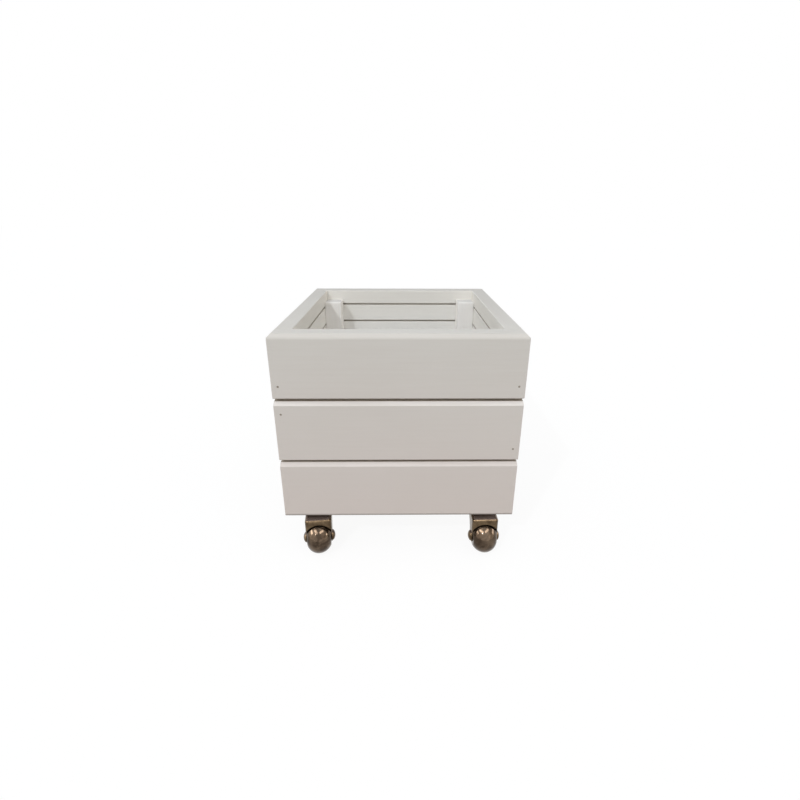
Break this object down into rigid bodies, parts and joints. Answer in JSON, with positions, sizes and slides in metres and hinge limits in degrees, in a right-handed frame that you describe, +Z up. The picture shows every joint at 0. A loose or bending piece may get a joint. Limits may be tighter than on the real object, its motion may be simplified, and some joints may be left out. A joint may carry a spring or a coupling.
{
  "type": "rolling planter",
  "caption": "Square planter box of painted tongue-and-groove boards with inner corner posts, standing on swivel casters with round-treaded wheels.",
  "frame": {"origin": "on the floor, under the middle of the box", "axes": "+Z up, -Y towards the front, +X to the right seen from the front"},
  "size_m": [0.34, 0.369, 0.3535],
  "materials": {
    "painted_wood": "off-white satin paint over brushed softwood",
    "bare_wood": "planed softwood",
    "bright_steel": "zinc plated",
    "bronze_steel": "glossy dark bronze plating",
    "hub_nylon": "moulded brown nylon",
    "urethane": "polished dark bronze-brown urethane"
  },
  "bodies": {
    "box": {"board_front_bottom": "painted_wood", "board_front_middle": "painted_wood", "board_front_top": "painted_wood", "board_right_bottom": "painted_wood", "board_right_middle": "painted_wood", "board_right_top": "painted_wood", "board_back_bottom": "painted_wood", "board_back_middle": "painted_wood", "board_back_top": "painted_wood", "board_left_bottom": "painted_wood", "board_left_middle": "painted_wood", "board_left_top": "painted_wood", "post_front_left": "painted_wood", "post_front_right": "painted_wood", "post_rear_left": "painted_wood", "post_rear_right": "painted_wood", "bearer_left": "bare_wood", "bearer_right": "bare_wood", "floor_slat_front": "painted_wood", "floor_slat_1": "painted_wood", "floor_slat_2": "painted_wood", "floor_slat_3": "painted_wood", "floor_slat_rear": "painted_wood", "wall_nails": "bright_steel", "floor_nails": "bright_steel", "caster_screws": "bright_steel", "caster_front_left_plate": "bronze_steel", "caster_front_left_kingpin": "bright_steel", "caster_front_right_plate": "bronze_steel", "caster_front_right_kingpin": "bright_steel", "caster_rear_left_plate": "bronze_steel", "caster_rear_left_kingpin": "bright_steel", "caster_rear_right_plate": "bronze_steel", "caster_rear_right_kingpin": "bright_steel"},
    "fork_front_left": {"caster_front_left_balls": "bright_steel", "caster_front_left_fork": "bronze_steel", "caster_front_left_axle": "bronze_steel", "caster_front_left_axle_cap": "bronze_steel"},
    "wheel_front_left": {"caster_front_left_hub": "hub_nylon", "caster_front_left_tread": "urethane"},
    "fork_front_right": {"caster_front_right_balls": "bright_steel", "caster_front_right_fork": "bronze_steel", "caster_front_right_axle": "bronze_steel", "caster_front_right_axle_cap": "bronze_steel"},
    "wheel_front_right": {"caster_front_right_hub": "hub_nylon", "caster_front_right_tread": "urethane"},
    "fork_rear_left": {"caster_rear_left_balls": "bright_steel", "caster_rear_left_fork": "bronze_steel", "caster_rear_left_axle": "bronze_steel", "caster_rear_left_axle_cap": "bronze_steel"},
    "wheel_rear_left": {"caster_rear_left_hub": "hub_nylon", "caster_rear_left_tread": "urethane"},
    "fork_rear_right": {"caster_rear_right_balls": "bright_steel", "caster_rear_right_fork": "bronze_steel", "caster_rear_right_axle": "bronze_steel", "caster_rear_right_axle_cap": "bronze_steel"},
    "wheel_rear_right": {"caster_rear_right_hub": "hub_nylon", "caster_rear_right_tread": "urethane"}
  },
  "joints": [
    {"name": "swivel_front_left", "type": "hinge", "parent": "box", "child": "fork_front_left", "pos_m": [-0.127, -0.134, 0.06], "axis": [0, 0, 1], "continuous": true},
    {"name": "roll_front_left", "type": "hinge", "parent": "fork_front_left", "child": "wheel_front_left", "pos_m": [-0.12395, -0.15881, 0.0255], "axis": [0.9925, 0.1219, 0], "continuous": true},
    {"name": "swivel_front_right", "type": "hinge", "parent": "box", "child": "fork_front_right", "pos_m": [0.131, -0.134, 0.06], "axis": [0, 0, 1], "continuous": true},
    {"name": "roll_front_right", "type": "hinge", "parent": "fork_front_right", "child": "wheel_front_right", "pos_m": [0.13144, -0.159, 0.0255], "axis": [0.9998, 0.0175, 0], "continuous": true},
    {"name": "swivel_rear_left", "type": "hinge", "parent": "box", "child": "fork_rear_left", "pos_m": [-0.127, 0.134, 0.06], "axis": [0, 0, 1], "continuous": true},
    {"name": "roll_rear_left", "type": "hinge", "parent": "fork_rear_left", "child": "wheel_rear_left", "pos_m": [-0.12744, 0.159, 0.0255], "axis": [-0.9998, -0.0175, 0], "continuous": true},
    {"name": "swivel_rear_right", "type": "hinge", "parent": "box", "child": "fork_rear_right", "pos_m": [0.131, 0.134, 0.06], "axis": [0, 0, 1], "continuous": true},
    {"name": "roll_rear_right", "type": "hinge", "parent": "fork_rear_right", "child": "wheel_rear_right", "pos_m": [0.12795, 0.15881, 0.0255], "axis": [-0.9925, -0.1219, 0], "continuous": true}
  ]
}
